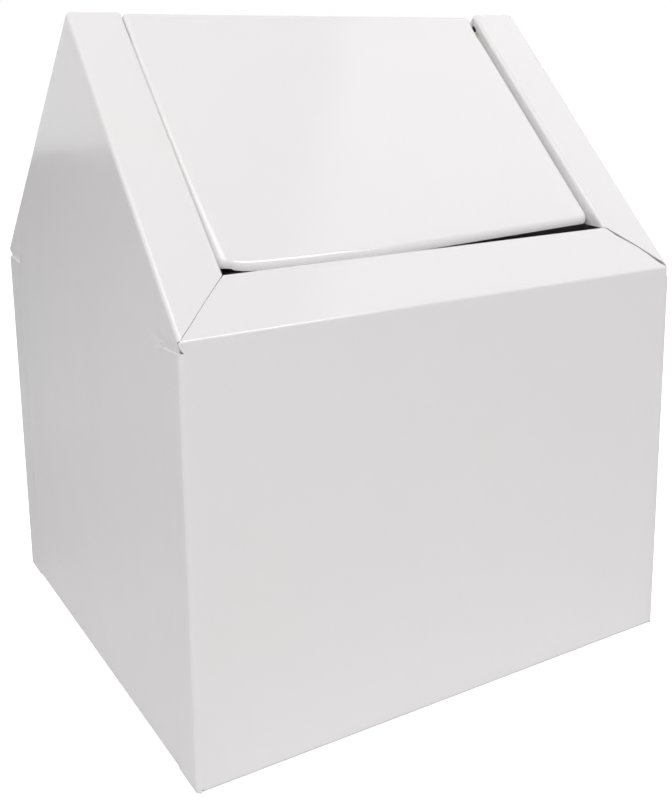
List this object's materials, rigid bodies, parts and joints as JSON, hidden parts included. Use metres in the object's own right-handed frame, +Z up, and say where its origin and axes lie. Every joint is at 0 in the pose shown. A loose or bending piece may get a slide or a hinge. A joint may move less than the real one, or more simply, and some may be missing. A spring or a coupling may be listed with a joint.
{
  "type": "sanitary container",
  "caption": "Free-standing folded sheet-steel sanitary container with a gabled roof and a double-entry lid that swings on pins under the ridge and closes by its own weight.",
  "frame": {"origin": "centre of the footprint, on the floor", "axes": "+Z up, front panel towards -Y, lid pivot axis along X"},
  "size_m": [0.235, 0.222, 0.2857],
  "materials": {
    "enamel": "gloss white baked enamel",
    "zinc": "zinc plated, dull",
    "pin_steel": "bright steel",
    "nylon": "natural nylon"
  },
  "bodies": {
    "case": {"front_panel": "enamel", "rear_panel": "enamel", "left_gable_panel": "enamel", "right_gable_panel": "enamel", "base_pan": "enamel", "front_left_gusset": "zinc", "front_right_gusset": "zinc", "rear_left_gusset": "zinc", "rear_right_gusset": "zinc", "left_pivot_bracket": "zinc", "right_pivot_bracket": "zinc", "left_pivot_pin": "pin_steel", "right_pivot_pin": "pin_steel", "left_spacer": "nylon", "right_spacer": "nylon", "left_retaining_clip": "pin_steel", "right_retaining_clip": "pin_steel"},
    "lid": {"swing_lid": "enamel", "left_hinge_plate": "zinc", "right_hinge_plate": "zinc", "left_bush": "nylon", "right_bush": "nylon"}
  },
  "joints": [
    {"name": "lid_swing", "type": "hinge", "parent": "case", "child": "lid", "pos_m": [0, 0, 0.272], "axis": [1, 0, 0], "range_deg": [-80, 80]}
  ]
}
